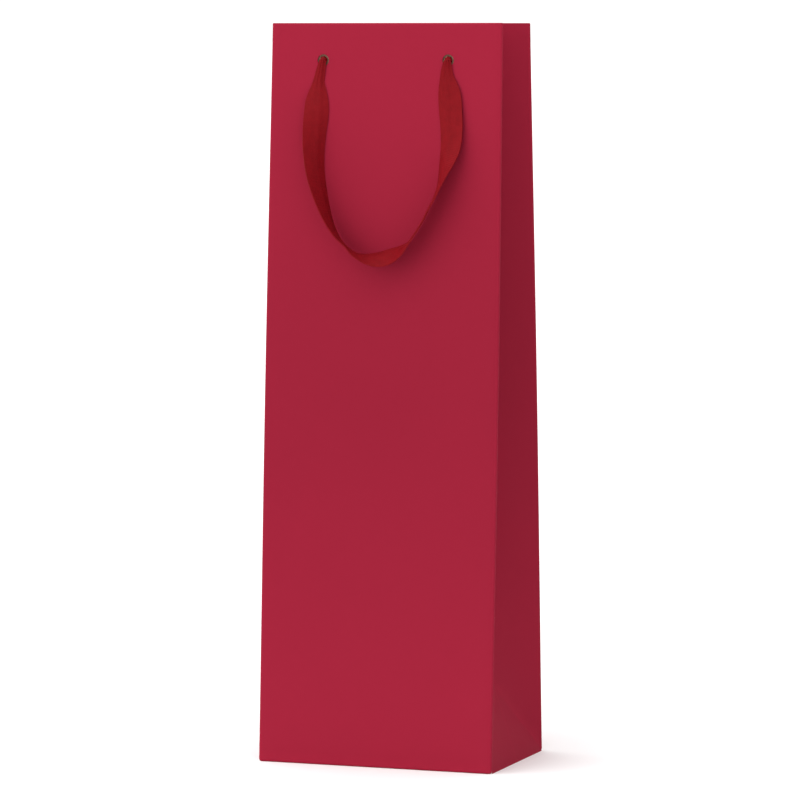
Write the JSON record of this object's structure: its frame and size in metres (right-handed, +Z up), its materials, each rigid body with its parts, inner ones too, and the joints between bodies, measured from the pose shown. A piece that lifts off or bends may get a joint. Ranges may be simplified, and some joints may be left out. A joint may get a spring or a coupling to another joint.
{
  "type": "gift bag",
  "caption": "Tall gusseted paper bottle gift bag with a turned-in stiffened rim, a loose base card and ribbon handles knotted through punched holes.",
  "frame": {"origin": "on the floor under the middle of the base", "axes": "+Z up, front wall faces -Y, the bag is widest along X"},
  "size_m": [0.12, 0.0804, 0.3595],
  "materials": {
    "bag_paper": "art paper, red outside, matt film lamination",
    "greyboard": "uncoated recycled greyboard",
    "base_card_board": "white-faced card, loose in the base",
    "ribbon": "woven polyester ribbon, low sheen"
  },
  "bodies": {
    "base": {"outer_base_flap": "bag_paper", "inner_base_flap": "bag_paper", "left_end_flap": "bag_paper", "right_end_flap": "bag_paper", "left_gusset_foot": "bag_paper", "right_gusset_foot": "bag_paper", "left_gusset_front": "bag_paper", "left_gusset_back": "bag_paper", "right_gusset_front": "bag_paper", "right_gusset_back": "bag_paper", "left_gusset_front_hem": "bag_paper", "left_gusset_back_hem": "bag_paper", "right_gusset_front_hem": "bag_paper", "right_gusset_back_hem": "bag_paper"},
    "loose_base_card": {"base_card": "base_card_board"},
    "front_wall": {"front_panel": "bag_paper", "front_stiffener": "greyboard", "front_top_hem": "bag_paper", "front_left_knot": "ribbon", "front_right_knot": "ribbon"},
    "back_wall": {"back_panel": "bag_paper", "back_stiffener": "greyboard", "back_top_hem": "bag_paper", "glue_seam_flap": "bag_paper", "back_left_knot": "ribbon", "back_right_knot": "ribbon"},
    "front_handle": {"front_ribbon_loop": "ribbon"},
    "back_handle": {"back_ribbon_loop": "ribbon"}
  },
  "joints": [
    {"name": "front_wall_fold", "type": "hinge", "parent": "base", "child": "front_wall", "pos_m": [0, -0.04, 0], "axis": [-1, 0, 0], "range_deg": [-2.86, 1.5], "deforming": ["left_gusset_front", "right_gusset_front", "left_gusset_front_hem", "right_gusset_front_hem"]},
    {"name": "back_wall_fold", "type": "hinge", "parent": "base", "child": "back_wall", "pos_m": [0, 0.04, 0], "axis": [1, 0, 0], "range_deg": [-2.86, 1.5], "deforming": ["left_gusset_back", "right_gusset_back", "left_gusset_back_hem", "right_gusset_back_hem"]},
    {"name": "front_handle_swing", "type": "hinge", "parent": "front_wall", "child": "front_handle", "pos_m": [0, -0.0241, 0.34163], "axis": [-1, 0, 0], "range_deg": [0, 170]},
    {"name": "back_handle_swing", "type": "hinge", "parent": "back_wall", "child": "back_handle", "pos_m": [0, 0.0241, 0.34163], "axis": [1, 0, 0], "range_deg": [0, 170]},
    {"name": "base_card_lift", "type": "slide", "parent": "base", "child": "loose_base_card", "axis": [0, 0, 1], "range_m": [0, 0.003]}
  ]
}
